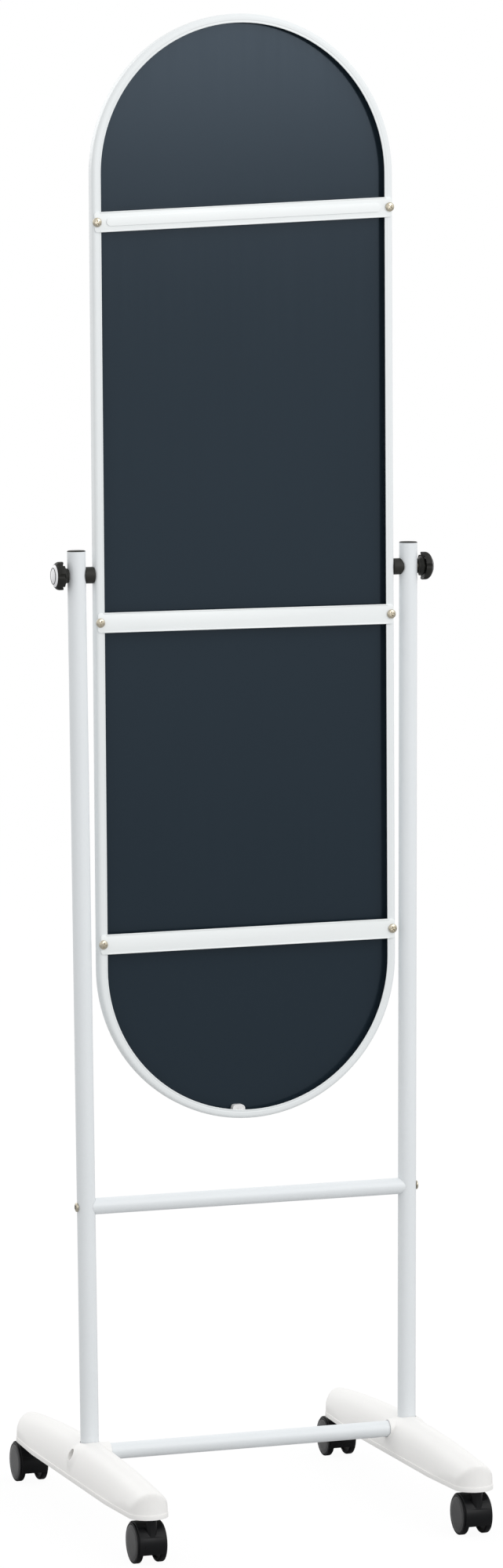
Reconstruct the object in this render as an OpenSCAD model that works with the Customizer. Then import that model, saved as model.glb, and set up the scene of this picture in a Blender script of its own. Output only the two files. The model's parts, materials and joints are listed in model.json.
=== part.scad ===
// Rolling floor mirror: a full-length stadium mirror that tilts between two
// uprights on a wheeled stand. Millimetres, +Z up, -Y is the reflecting side,
// origin on the floor below the middle of the overall box.

/* [Mirror frame] */
// Width of the mirror frame
frame_w = 325.3; // [280:0.1:400]
// Height of the mirror frame
frame_h = 1138; // [1000:1:1300]
// Width of the rail, seen from the front
rail_face = 9.2; // [8:0.1:14]
// Depth of the rail, front to back
rail_depth = 15; // [13:0.1:22]
// Sheet thickness of the rolled rail
rail_wall = 1.2; // [0.8:0.1:1.8]
// Radius of the rail's two outer corners
rail_corner = 3.6; // [2:0.1:5]
// Radius of the small holes in the top and bottom of the rim
rim_hole_r = 1.75; // [1:0.05:3]
// Place of the top rim hole, sideways from the middle
rim_hole_top_x = -4; // [-20:1:20]
// Place of the bottom rim hole, sideways from the middle
rim_hole_bottom_x = 7; // [-20:1:20]

/* [Glass] */
// Thickness of the glass
glass_t = 4; // [3:0.1:5]
// Thickness of the dark paint coat on its back
coat_t = 0.3; // [0.2:0.05:0.6]
// How far the glass enters the rail's channel
glass_bite = 4; // [3:0.1:5]
// Width of the clip that holds the glass at the bottom
clip_w = 13.5; // [10:0.5:24]
// How far the clip shows above the rail
clip_rise = 5.4; // [3:0.1:9]
// Place of the clip, sideways from the middle
clip_x = 11.5; // [-20:0.5:20]

/* [Braces] */
// Distance from the rim to the ends of the braces
brace_inset = 1.65; // [1:0.05:2.1]
// Height of a cross-brace
brace_h = 20.7; // [16:0.1:28]
// Sheet thickness of a cross-brace
brace_t = 1.2; // [0.8:0.1:2]
// Height of the pressed rib along the brace
rib_h = 9; // [5:0.5:12]
// How far the rib stands out
rib_rise = 0.9; // [0.5:0.1:2]
// Distance from the screws to the ends of the rib
rib_inset = 10; // [7:0.5:20]
// Radius of the rolled edge beads
bead_r = 0.7; // [0.4:0.05:1]
// Radius of the corners of the brace
brace_corner = 3; // [1.5:0.1:5]
// Distance from the rim to the brace screws
screw_inset = 4.15; // [4.1:0.05:5]
// Distance of the upper brace below the start of the top bend
brace_up_drop = 41.35; // [20:0.05:120]
// Height of the middle brace above the pivots
brace_mid = -48.7; // [-80:0.1:-40]
// Distance of the lower brace above the start of the bottom bend
brace_down_rise = 27.65; // [20:0.05:120]
// Skew of the upper brace in degrees
brace_up_skew = 2.48; // [0:0.01:3]
// Skew of the lower brace in degrees
brace_down_skew = 0.35; // [0:0.01:3]

/* [Uprights] */
// Outer diameter of the uprights
tube_d = 19; // [18:0.1:21]
// Wall of the uprights
tube_wall = 1.2; // [0.8:0.1:2]
// Gap between the mirror's rim and the uprights, at the pivots
side_gap = 8.62; // [8:0.01:20]
// Outward lean of the uprights in degrees
tube_splay = 0.338; // [0:0.001:0.8]
// Height of the top of the uprights
tube_top = 1008.4; // [1000:0.1:1040]
// Height of the black top plug above the tube
plug_rise = 1.3; // [0.8:0.1:4]
// Height of the tilting axis
pivot_z = 984; // [960:0.5:990]

/* [Pivots] */
// Radius of the pivot studs
stud_r = 3; // [2.5:0.1:4]
// Radius of the stud's head inside the rail
stud_head_r = 5.5; // [4.5:0.1:6]
// Thickness of the stud's head
stud_head_t = 3; // [2:0.1:3.4]
// How far the stud reaches past the upright
stud_reach = 12.7; // [10:0.1:13]
// Radius of the spacer between mirror and upright
spacer_r = 8.5; // [7:0.1:9]
// Radius of the spacer's shallow saddle
saddle_r = 16.5; // [12:0.1:30]

/* [Knobs] */
// Radius of the knob's hub
hub_r = 7.5; // [6:0.1:8]
// Radius of the collar behind the knob's head
collar_r = 10.25; // [9:0.05:11]
// Radius of the knob's lobed head
knob_r = 14.5; // [13:0.1:18]
// Height of the whole knob
knob_h = 16.6; // [15.5:0.1:20]
// Number of lobes
lobes = 6; // [5:1:9]
// Radius of the hollow between two lobes
scallop_r = 3.4; // [2.5:0.1:4]
// Radius of the pale face cap
face_r = 11.9; // [10.2:0.1:12]
// Radius of the threaded insert
insert_r = 4.5; // [4.2:0.1:5]
// Length of the threaded insert
insert_l = 11; // [8:0.5:12]

/* [Crossbars] */
// Outer diameter of the crossbars
bar_d = 17; // [14:0.1:17.4]
// Wall of the crossbars
bar_wall = 1.2; // [0.8:0.1:2]
// Height of the middle crossbar
bar_mid_z = 332; // [250:1:400]
// Height of the lower crossbar
bar_low_z = 73.7; // [72:0.1:75]
// Length of the plugs in the bars' ends
bar_plug_l = 24; // [18:1:40]
// Radius of the bar screws' shank
bar_screw_r = 2.5; // [2:0.1:3]
// Radius of all pan heads
head_r = 4.7; // [4:0.1:5.2]
// Height of all pan heads
head_h = 2.4; // [1.8:0.1:3]
// Radius of the brace screws' shank
brace_screw_r = 1.9; // [1.5:0.1:2.3]
// Length of the brace screws' shank
brace_screw_l = 6; // [4:0.5:8]

/* [Feet] */
// Length of a foot above its lip
foot_len = 419; // [400:1:460]
// Width of a foot above its lip
foot_w = 48; // [46:0.1:52]
// Width of the foot at its rounded ends
foot_end_w = 40.6; // [38:0.1:44]
// Length of the foot's widest stretch
foot_flat = 250; // [200:1:300]
// Height of the underside of the feet
foot_bottom = 48; // [47.9:0.1:52]
// Height of the crown at the middle of a foot
foot_crown = 87; // [86:0.1:92]
// Radius of the long arch, seen from the side
foot_arch = 1995; // [1600:1:3000]
// Wall of the feet
foot_wall = 2.2; // [1.6:0.1:2.6]
// Height of the lip round the bottom edge
lip_h = 4.7; // [3:0.1:6]
// How far the lip stands out
lip_proud = 0.5; // [0.3:0.05:1]
// Radius of the swelling round the upright's foot
swell_r = 24; // [23:0.1:26]
// Height of the centre of the swelling
swell_z = 63.8; // [62:0.1:67]
// Radius of the collar that the lower bar enters
bar_collar_r = 10.3; // [10.1:0.1:12]
// Radius of the screw recess in the outer side
recess_r = 5.7; // [5.5:0.1:6.5]
// Distance of the stems from the ends of the foot
stem_inset = 9.5; // [9.3:0.1:20]

/* [Casters] */
// Diameter of a wheel
wheel_d = 41.6; // [38:0.1:44]
// Width of one wheel with its cap
wheel_w = 7.2; // [7:0.1:10]
// Distance between the two wheels
wheel_gap = 18; // [12.4:0.1:22]
// Distance from the stem's axis back to the axle
trail = 15; // [13:0.1:18]
// Wall of the hood over the wheels
hood_wall = 1.25; // [1:0.05:2]
// Width of the hood over both wheels
hood_w = 28; // [26:0.1:36]
// Height above the floor of the hood's edge on the stem side
hood_edge = 11.6; // [8:0.1:14]
// Height above the floor of the hood's edge on the far side
hood_back_edge = 28; // [25:0.5:34]
// Radius of the barrel round the axle
barrel_r = 13; // [9:0.1:14]
// Radius of the axle
axle_r = 2.5; // [2:0.1:3.5]
// Width of the rim left round a wheel's face cap
cap_inset = 2.1; // [1.9:0.1:4]
// Radius of the stem
stem_r = 4; // [3.5:0.1:4.2]
// Radius of the pillar that turns on the stem
pillar_r = 5.8; // [5.5:0.1:6.1]
// Radius of the sleeve that holds the stem in the foot
sleeve_r = 6; // [5.5:0.1:6.6]

/* [Fits] */
// Radial clearance of everything that turns or plugs in
fit = 0.05; // [0.03:0.01:0.1]
// Clearance between flat or curved faces of neighbours
gap = 0.15; // [0.1:0.05:0.3]
// Clearance of the knob from the upright
knob_gap = 0.3; // [0.2:0.05:0.6]
// Clearance between the wheel and the hood
wheel_clear = 0.35; // [0.3:0.05:0.6]
// Clearance between the turning hood and the foot
hood_clear = 0.5; // [0.3:0.1:1]

/* [Hidden] */
$fn = 64;
eps = 0.01;

// Mirror
arc_r = frame_w / 2;
arc_z = frame_h / 2 - arc_r;
channel_r = arc_r - rail_wall;
channel_half = rail_depth / 2 - rail_wall;
channel_corner = rail_corner - rail_wall;
channel_flat = channel_half - channel_corner;
glass_half = arc_r - rail_face + glass_bite;
glass_front = -channel_half + gap;
glass_back = glass_front + glass_t;
coat_back = glass_back + coat_t;
rail_back = rail_depth / 2;
brace_l = frame_w - 2 * brace_inset;
brace_screw_x = arc_r - screw_inset;
braces = [
    [arc_z - brace_up_drop, brace_up_skew],
    [brace_mid, 0],
    [brace_down_rise - arc_z, brace_down_skew]
];

// Stand
tube_r = tube_d / 2;
tube_bore = tube_r - tube_wall;
bar_r = bar_d / 2;
bar_bore = bar_r - bar_wall;
pivot_x = arc_r + side_gap + tube_r;
tube_x = pivot_x - (pivot_z - foot_crown) * tan(tube_splay);
span = 2 * (pivot_x + foot_w);
spacer_x = arc_r + gap;
tangent_in = pivot_x - tube_r;
tangent_out = pivot_x + tube_r;
cap_spigot = 12;
socket_floor = 2;
socket_wall = 2.2;
socket_rise = 6;
socket_z = foot_bottom + socket_rise;
tube_bottom = socket_z + socket_floor + gap;
socket_r = tube_r + gap + socket_wall;
screw_seat = socket_r + fit;
bar_screw_l = 30;
boss_wall = 2;
boss_r = recess_r + boss_wall;
collar_back = 0.5;
collar_end = sqrt(pow(swell_r, 2) - pow(bar_low_z - swell_z, 2)) - collar_back;

// Knob, as heights above its flat back
collar_top = 4.1;
collar_neck = 6.5;
neck_r = 8;
rim_back = 5.6;
dome_base = 9;
dome_rise = knob_h - dome_base;
dome_steps = 12;
face_rim = 0.75;
face_base = dome_base + dome_rise * sqrt(1 - pow(face_r / knob_r, 2)) - face_rim;
face_floor = 1;
lobe_wall = 0.8;
hollow_top = 8.5;
hollow_gap = 0.5;
scallop_web = 0.5;
scallop_at = face_r + scallop_web + scallop_r;
groove_r = 8.2;
groove_w = 0.7;
groove_depth = 0.5;
groove_z = dome_base + dome_rise * sqrt(1 - pow(groove_r / knob_r, 2)) - groove_depth;

// Foot and casters
foot_end = foot_len / 2;
foot_half = foot_w / 2;
foot_end_r = foot_end_w / 2;
foot_tuck = 0.05;
foot_sink = 1;
foot_side_r = 60;
crown_ease = 0.6;
crown_h = foot_crown - foot_bottom + foot_sink;
side_out = foot_side_r - foot_half;
side_over = foot_side_r - crown_h;
crown_r = crown_h - (pow(side_out, 2) - pow(side_over, 2)) / (2 * side_over) + crown_ease;
rib_t = 2;
rib_lift = 3;
rib_places = [70, 135];
sleeve_lip = 2;
sleeve_flange_r = sleeve_r + sleeve_lip;
sleeve_flange_t = 1.2;
sleeve_l = 21;
sleeve_wall = 2.4;
stem_boss_r = sleeve_r + sleeve_wall;
stem_y = foot_end - stem_inset;
axle_z = wheel_d / 2;
hood_bore = axle_z + wheel_clear;
hood_r = hood_bore + hood_wall;
web_clear = 0.3;
web_half = wheel_gap / 2 - web_clear;
hood_half = hood_w / 2;
stem_drop = 24;
stem_stop = 2;
stem_bottom = foot_bottom - stem_drop;
stem_top = foot_bottom + sleeve_l - stem_stop;
pillar_floor = 2;
pillar_foot = stem_bottom + pillar_floor;
axle_short = 0.8;
tread_step = 0.6;
tread_w = wheel_w - tread_step;
tread_edge = 1.6;
tread_bulge = tread_edge * (1 - cos(45));
cap_t = 1.3;
cap_dome = 0.5;
wheel_cap_r = axle_z - cap_inset;
wheel_hub_r = 6.5;
wheel_rim_t = 3;
hood_back_reach = sqrt(pow(hood_r, 2) - pow(hood_back_edge - axle_z, 2));
front_reach = stem_y + trail + hood_back_reach;
rear_reach = foot_end + lip_proud;
stand_y = (front_reach - rear_reach) / 2;

// ---- helpers ----

// Puts the stand's own middle plane behind the origin, so that the box is centred
module placed() translate([0, stand_y, 0]) children();

// The mirror's frame of reference, at the middle of its tilting axis
module panel() placed() translate([0, 0, pivot_z]) children();

// The same piece on the left (-1) or the right (1)
module on_side(side) mirror([side < 0 ? 1 : 0, 0, 0]) children();

// Turns an upright shape to lie along +X
module along_x() rotate([0, 90, 0]) children();

// Extrudes an outline drawn in X and Z towards +Y, from y = 0
module towards_back(t) {
    translate([0, t, 0])
        rotate([90, 0, 0])
            linear_extrude(t) children();
}

// The leaning axis of the right upright, with the true heights kept
module tube_axis() {
    translate([tube_x, 0, foot_crown])
        rotate([0, tube_splay, 0])
            translate([0, 0, -foot_crown]) children();
}

module stadium(w, h) {
    square([w, h - w], center = true);
    for (s = [-1, 1])
        translate([0, s * (h - w) / 2])
            circle(d = w);
}

module rounded_plate(w, h, r) {
    square([w - 2 * r, h], center = true);
    square([w, h - 2 * r], center = true);
    for (sx = [-1, 1], sy = [-1, 1])
        translate([sx * (w / 2 - r), sy * (h / 2 - r)])
            circle(r);
}

// Pan-head screw with a cross recess, head above z = 0 and shank below
module pan_screw(r, l) {
    edge = head_h / 2;
    crown = (pow(head_r, 2) + pow(edge, 2)) / (2 * edge);
    slot_w = 1.1;
    slot_l = 5;
    slot_depth = 1.3;
    difference() {
        intersection() {
            cylinder(r = head_r, h = head_h);
            translate([0, 0, head_h - crown])
                sphere(crown);
        }
        for (turn = [0, 90])
            rotate(turn)
                translate([-slot_l / 2, -slot_w / 2, head_h - slot_depth])
                    cube([slot_l, slot_w, slot_depth + 1]);
    }
    translate([0, 0, -l])
        cylinder(r = r, h = l + eps);
}

// ---- mirror ----

// Section of the rail: x is the distance from the arc's centre, y the depth
module rail_section() {
    difference() {
        translate([arc_r - rail_face, 0]) {
            translate([0, -rail_depth / 2])
                square([rail_face - rail_corner, rail_depth]);
            translate([0, rail_corner - rail_depth / 2])
                square([rail_face, rail_depth - 2 * rail_corner]);
            for (s = [-1, 1])
                translate([rail_face - rail_corner, s * (rail_depth / 2 - rail_corner)])
                    circle(rail_corner);
        }
        translate([arc_r - rail_face, 0]) {
            translate([-1, -channel_half])
                square([rail_face - rail_corner + 1, 2 * channel_half]);
            translate([-1, -channel_flat])
                square([rail_face - rail_wall + 1, 2 * channel_flat]);
            for (s = [-1, 1])
                translate([rail_face - rail_corner, s * channel_flat])
                    circle(channel_corner);
        }
    }
}

module at_brace_screws() {
    for (b = braces, s = [-1, 1])
        translate([0, 0, b[0]])
            rotate([0, b[1], 0])
                translate([s * brace_screw_x, rail_back, 0])
                    rotate([-90, 0, 0]) children();
}

module mirror_frame() {
    stud_hole = stud_r + gap;
    color([0.89, 0.91, 0.92]) panel()
        difference() {
            union() {
                for (s = [-1, 1])
                    on_side(s)
                        translate([0, 0, -arc_z])
                            linear_extrude(2 * arc_z) rail_section();
                for (turn = [0, 180])
                    rotate([0, turn, 0])
                        translate([0, 0, arc_z])
                            rotate([90, 0, 0])
                                rotate_extrude(angle = 180, $fn = 120) rail_section();
            }
            along_x()
                cylinder(r = stud_hole, h = span, center = true);
            at_brace_screws()
                translate([0, 0, -rail_wall - 1])
                    cylinder(r = brace_screw_r + fit, h = rail_wall + 2);
            translate([rim_hole_top_x, 0, frame_h / 2 - rail_face])
                cylinder(r = rim_hole_r, h = rail_face + 1);
            translate([rim_hole_bottom_x, 0, -frame_h / 2 - 1])
                cylinder(r = rim_hole_r, h = rail_face + 1);
        }
}

module glass_sheet(y, t) {
    panel()
        translate([0, y, 0])
            towards_back(t)
                stadium(2 * glass_half, 2 * (glass_half + arc_z), $fn = 120);
}

module mirror_glass() {
    color([0.8, 0.86, 0.88]) glass_sheet(glass_front, glass_t);
}

module mirror_backing() {
    color([0.2, 0.25, 0.28]) glass_sheet(glass_back, coat_t);
}

// White clip in the bottom of the channel that keeps the glass forward
module glass_clip() {
    depth = channel_half - coat_back - 2 * gap;
    clip_top = -frame_h / 2 + rail_face + clip_rise;
    clip_low = clip_top - clip_rise - rail_face;
    top_r = 2.5;
    slot_w = 5;
    slot_h = 1.2;
    slot_depth = 1;
    color([0.95, 0.95, 0.95]) panel()
        intersection() {
            translate([clip_x, coat_back + gap, 0])
                difference() {
                    translate([0, 0, (clip_top + clip_low) / 2])
                        towards_back(depth)
                            rounded_plate(clip_w, clip_top - clip_low, top_r);
                    translate([-slot_w / 2, depth - slot_depth, clip_top - clip_rise + slot_h / 2])
                        cube([slot_w, depth, slot_h]);
                }
            translate([0, 0, -arc_z])
                rotate([90, 0, 0])
                    cylinder(r = arc_r - rail_corner, h = 2 * rail_depth, center = true, $fn = 120);
        }
}

module brace(at) {
    bead_z = brace_h / 2 - bead_r;
    bead_l = brace_l - 4 * brace_corner;
    rib_l = 2 * (brace_screw_x - rib_inset);
    color([0.92, 0.93, 0.93]) panel()
        translate([0, rail_back, at[0]])
            rotate([0, at[1], 0])
                difference() {
                    union() {
                        towards_back(brace_t)
                            rounded_plate(brace_l, brace_h, brace_corner);
                        towards_back(brace_t + rib_rise)
                            rotate(90)
                                stadium(rib_h, rib_l);
                        for (s = [-1, 1])
                            translate([0, brace_t, s * bead_z])
                                along_x()
                                    cylinder(r = bead_r, h = bead_l, center = true);
                    }
                    for (s = [-1, 1])
                        translate([s * brace_screw_x, 0, 0])
                            rotate([90, 0, 0])
                                cylinder(r = brace_screw_r + fit, h = 4 * brace_t, center = true);
                }
}

module brace_screws() {
    color([0.75, 0.72, 0.65]) panel()
        at_brace_screws()
            translate([0, 0, brace_t])
                pan_screw(brace_screw_r, brace_screw_l);
}

// Headed stud that hangs the mirror between the uprights
module pivot_stud(side) {
    head_x = channel_r - gap;
    edge = stud_head_r - channel_flat;
    color([0.7, 0.7, 0.7]) panel()
        on_side(side)
            along_x() {
                translate([0, 0, head_x - stud_head_t])
                    cylinder(r = stud_head_r, h = stud_head_t - edge);
                translate([0, 0, head_x - edge])
                    cylinder(r1 = stud_head_r, r2 = channel_flat, h = edge);
                translate([0, 0, head_x - eps])
                    cylinder(r = stud_r, h = tangent_out + stud_reach - head_x);
            }
}

// ---- stand ----

module spacer(side) {
    edge = 0.6;
    color([0.2, 0.2, 0.19]) placed()
        on_side(side)
            difference() {
                translate([spacer_x, 0, pivot_z])
                    along_x() {
                        cylinder(r1 = spacer_r - edge, r2 = spacer_r, h = edge);
                        translate([0, 0, edge])
                            cylinder(r = spacer_r, h = pivot_x - spacer_x - edge);
                    }
                translate([tangent_in - gap + saddle_r, 0, pivot_z])
                    rotate([0, tube_splay, 0])
                        cylinder(r = saddle_r, h = 4 * spacer_r, center = true, $fn = 120);
                translate([0, 0, pivot_z])
                    along_x()
                        cylinder(r = stud_r + fit, h = span);
            }
}

module upright(side) {
    color([0.84, 0.86, 0.87]) placed()
        on_side(side)
            difference() {
                tube_axis()
                    translate([0, 0, tube_bottom])
                        difference() {
                            cylinder(r = tube_r, h = tube_top - tube_bottom);
                            translate([0, 0, -1])
                                cylinder(r = tube_bore, h = tube_top - tube_bottom + 2);
                        }
                translate([0, 0, pivot_z])
                    along_x()
                        cylinder(r = stud_r + fit, h = span);
                for (z = [bar_mid_z, bar_low_z])
                    translate([0, 0, z])
                        along_x()
                            cylinder(r = bar_screw_r + fit, h = span);
            }
}

module upright_cap(side) {
    edge = 0.5;
    color([0.15, 0.15, 0.15]) placed()
        on_side(side)
            tube_axis() {
                translate([0, 0, tube_top])
                    cylinder(r = tube_r, h = plug_rise - edge);
                translate([0, 0, tube_top + plug_rise - edge])
                    cylinder(r1 = tube_r, r2 = tube_r - edge, h = edge);
                translate([0, 0, tube_top - cap_spigot])
                    cylinder(r = tube_bore - fit, h = cap_spigot + eps);
            }
}

// What has to be left out of a bar or plug so that it seats on the uprights
module upright_room() {
    for (s = [-1, 1])
        on_side(s)
            tube_axis()
                cylinder(r = tube_r + gap, h = tube_top);
}

module crossbar(z) {
    color([0.86, 0.87, 0.88]) placed()
        difference() {
            translate([0, 0, z])
                along_x()
                    difference() {
                        cylinder(r = bar_r, h = 2 * tube_x, center = true);
                        cylinder(r = bar_bore, h = span, center = true);
                    }
            upright_room();
        }
}

module crossbar_plugs(z) {
    inner_x = tube_x - tube_r - bar_plug_l;
    color([0.3, 0.3, 0.3]) placed()
        for (s = [-1, 1])
            on_side(s)
                difference() {
                    translate([inner_x, 0, z])
                        along_x()
                            difference() {
                                cylinder(r = bar_bore - fit, h = tube_x - inner_x);
                                translate([0, 0, -1])
                                    cylinder(r = bar_screw_r + fit, h = span);
                            }
                    upright_room();
                }
}

module bar_screws(z, head_x) {
    color([0.8, 0.8, 0.8]) placed()
        for (s = [-1, 1])
            on_side(s)
                translate([head_x, 0, z])
                    along_x()
                        pan_screw(bar_screw_r, bar_screw_l);
}

module crossbar_middle_screws() {
    mid_x = tube_x + (bar_mid_z - foot_crown) * tan(tube_splay);
    bar_screws(bar_mid_z, mid_x + tube_r + fit);
}

module crossbar_lower_screws() {
    bar_screws(bar_low_z, tube_x + screw_seat + fit);
}

// ---- knobs ----

// Places a knob's own height axis outwards along +X, from its flat back
module at_knob(side) {
    panel()
        on_side(side)
            translate([tangent_out + knob_gap, 0, 0])
                along_x() children();
}

// Outline of the lobed head, seen from its face
module lobed_outline() {
    difference() {
        circle(knob_r);
        for (i = [0 : lobes - 1])
            rotate((i + 0.5) * 360 / lobes)
                translate([scallop_at, 0])
                    circle(scallop_r);
    }
}

// Solid of the head's rounded outside, a half ellipse turned about the stud
module head_dome() {
    rotate_extrude($fn = 96)
        polygon(concat(
            [[0, rim_back], [knob_r, rim_back]],
            [for (i = [0 : dome_steps])
                let (t = i * 90 / dome_steps)
                    [knob_r * cos(t), dome_base + dome_rise * sin(t)]]
        ));
}

module knob(side) {
    color([0.2, 0.2, 0.19]) at_knob(side)
        difference() {
            union() {
                cylinder(r = hub_r, h = face_base);
                translate([0, 0, collar_top - (collar_r - hub_r)])
                    cylinder(r1 = hub_r, r2 = collar_r, h = collar_r - hub_r);
                translate([0, 0, collar_top])
                    cylinder(r1 = collar_r, r2 = neck_r, h = collar_neck - collar_top);
                intersection() {
                    linear_extrude(knob_h + 1) lobed_outline();
                    difference() {
                        head_dome();
                        translate([0, 0, rim_back])
                            cylinder(
                                r1 = knob_r - lobe_wall,
                                r2 = neck_r + hollow_gap,
                                h = hollow_top - rim_back
                            );
                    }
                }
                translate([0, 0, collar_neck - 1])
                    cylinder(r = neck_r, h = face_base - collar_neck);
            }
            translate([0, 0, face_base])
                cylinder(r = face_r + fit, h = knob_h);
            translate([0, 0, -1])
                cylinder(r = insert_r + fit, h = face_base + 2);
        }
}

module knob_insert(side) {
    color([0.75, 0.62, 0.35]) at_knob(side)
        difference() {
            cylinder(r = insert_r, h = insert_l);
            translate([0, 0, -1])
                cylinder(r = stud_r + fit, h = insert_l + 2);
        }
}

// Pale face of the knob, with a fine groove round its middle
module knob_cap(side) {
    color([0.93, 0.93, 0.94]) at_knob(side)
        difference() {
            intersection() {
                translate([0, 0, face_base + fit])
                    cylinder(r = face_r, h = knob_h);
                head_dome();
            }
            translate([0, 0, groove_z])
                difference() {
                    cylinder(r = groove_r + groove_w / 2, h = dome_rise);
                    translate([0, 0, -1])
                        cylinder(r = groove_r - groove_w / 2, h = dome_rise + 2);
                }
            translate([0, 0, face_base])
                cylinder(r = stud_r + gap, h = knob_h - face_base - face_floor);
        }
}

// ---- feet ----

// Plan of the foot, wider along its middle, grown all round by proud
module foot_plan(proud) {
    half = foot_half + proud;
    flat = foot_flat / 2;
    end_r = foot_end_r + proud;
    end_y = foot_end - foot_end_r;
    turn = acos(end_r / norm([half, end_y - flat])) - atan2(end_y - flat, half);
    x = (end_r - foot_tuck) * cos(turn);
    y = end_y + (end_r - foot_tuck) * sin(turn);
    polygon([
        [half, -flat], [half, flat], [x, y], [-x, y],
        [-half, flat], [-half, -flat], [-x, -y], [x, -y]
    ]);
    for (s = [-1, 1])
        translate([0, s * end_y])
            circle(end_r, $fn = 96);
}

// Section of the arched bar, with x towards its crown
module foot_section(inset) {
    root = foot_arch - crown_h;
    top = foot_arch - crown_r;
    skirt = 20;
    intersection() {
        inside_flank(-1, root, inset);
        inside_flank(1, root, inset);
        union() {
            translate([top, 0]) circle(crown_r - inset);
            translate([root - skirt, -foot_half])
                square([skirt + crown_h - crown_r / 2, foot_w]);
        }
    }
}

// Everything inside one long side of the section
module inside_flank(side, root, inset) {
    translate([root, -side * side_out]) circle(foot_side_r - inset, $fn = 180);
}

// The arched bar that the foot is moulded from, smaller all round by inset
module foot_bar(inset) {
    sweep = 2 * asin(foot_len / foot_arch);
    intersection() {
        translate([0, 0, foot_crown - foot_arch])
            rotate([180 - sweep / 2, 0, 0])
                rotate([0, 90, 0])
                    rotate_extrude(angle = sweep, $fn = 360)
                        foot_section(inset);
        translate([0, 0, foot_bottom - 1])
            linear_extrude(foot_crown)
                foot_plan(-inset);
    }
}

// Soft swelling round the upright
module foot_swell(inset) {
    floor_z = foot_bottom + lip_h + inset;
    intersection() {
        translate([0, 0, swell_z])
            sphere(swell_r - inset, $fn = 96);
        translate([-swell_r, -swell_r, floor_z])
            cube([2 * swell_r, 2 * swell_r, foot_crown]);
    }
}

module foot_outside() {
    intersection() {
        foot_bar(0);
        translate([-foot_w, -foot_end - 1, foot_bottom])
            cube([2 * foot_w, foot_len + 2, foot_crown]);
    }
    foot_swell(0);
    translate([0, 0, foot_bottom])
        linear_extrude(lip_h)
            foot_plan(lip_proud);
}

module foot_ribs() {
    for (y = rib_places, s = [-1, 1])
        translate([-foot_w / 2, s * y - rib_t / 2, foot_bottom + lip_h + rib_lift])
            cube([foot_w, rib_t, foot_crown]);
}

module foot(side) {
    color([0.95, 0.95, 0.94]) placed()
        on_side(side)
            difference() {
                translate([tube_x, 0, 0])
                    union() {
                        difference() {
                            foot_outside();
                            foot_bar(foot_wall);
                            foot_swell(foot_wall);
                        }
                        intersection() {
                            foot_outside();
                            union() {
                                translate([0, 0, socket_z])
                                    cylinder(r = socket_r, h = foot_crown);
                                for (s = [-1, 1])
                                    translate([0, s * stem_y, foot_bottom + sleeve_flange_t])
                                        cylinder(r = stem_boss_r, h = foot_crown);
                                translate([0, 0, bar_low_z])
                                    along_x()
                                        cylinder(r = boss_r, h = foot_w);
                                foot_ribs();
                            }
                        }
                        translate([-collar_end, 0, bar_low_z])
                            along_x()
                                cylinder(r = bar_collar_r, h = collar_end);
                    }
                tube_axis()
                    translate([0, 0, socket_z + socket_floor])
                        cylinder(r = tube_r + gap, h = foot_crown);
                translate([0, 0, bar_low_z])
                    along_x() {
                        cylinder(r = bar_r + gap, h = tube_x);
                        cylinder(r = bar_screw_r + fit, h = span);
                        translate([0, 0, tube_x + screw_seat])
                            cylinder(r = recess_r, h = foot_w);
                    }
                for (s = [-1, 1])
                    translate([tube_x, s * stem_y, foot_bottom - 1]) {
                        cylinder(r = sleeve_r + fit, h = sleeve_l + 1 + gap);
                        cylinder(r = sleeve_flange_r + gap, h = sleeve_flange_t + 1);
                    }
            }
}

// ---- casters ----

module at_caster(x_side, y_side) {
    placed()
        translate([x_side * tube_x, y_side * stem_y, 0]) children();
}

module caster_sockets() {
    color([0.6, 0.6, 0.6])
        for (sx = [-1, 1], sy = [-1, 1])
            at_caster(sx, sy)
                translate([0, 0, foot_bottom])
                    difference() {
                        union() {
                            cylinder(r = sleeve_flange_r, h = sleeve_flange_t - gap);
                            cylinder(r = sleeve_r, h = sleeve_l);
                        }
                        translate([0, 0, -1])
                            cylinder(r = stem_r + fit, h = sleeve_l);
                    }
}

module caster_stem(x_side, y_side) {
    tip = 1;
    color([0.75, 0.75, 0.75]) at_caster(x_side, y_side) {
        translate([0, 0, stem_bottom])
            cylinder(r1 = stem_r - tip, r2 = stem_r, h = tip);
        translate([0, 0, stem_bottom + tip])
            cylinder(r = stem_r, h = stem_top - stem_bottom - 2 * tip);
        translate([0, 0, stem_top - tip])
            cylinder(r1 = stem_r, r2 = stem_r - tip, h = tip);
    }
}

// Side outline of the hood about the axle: x is the trail direction, y is up
module hood_region(r) {
    difference() {
        circle(r);
        translate([-2 * r, -2 * r])
            square([4 * r, 2 * r + hood_edge - axle_z]);
        translate([0, -2 * r])
            square([2 * r, 2 * r + hood_back_edge - axle_z]);
    }
}

// Extrudes a side outline of the caster to both sides of its middle plane
module across_caster(half) {
    translate([half, -trail, axle_z])
        rotate([0, 0, -90])
            rotate([90, 0, 0])
                linear_extrude(2 * half) children();
}

module caster_hood(x_side, y_side) {
    color([0.15, 0.15, 0.16]) at_caster(x_side, y_side)
        difference() {
            union() {
                across_caster(hood_half)
                    difference() {
                        hood_region(hood_r);
                        circle(hood_bore);
                    }
                across_caster(web_half) {
                    hood_region(hood_r - hood_wall / 2);
                    circle(barrel_r);
                }
                translate([0, 0, pillar_foot])
                    cylinder(r = pillar_r, h = foot_bottom - hood_clear - pillar_foot);
            }
            translate([0, 0, stem_bottom - gap])
                cylinder(r = stem_r + fit, h = foot_bottom);
            across_caster(hood_half + 1)
                circle(axle_r + fit);
        }
}

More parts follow.
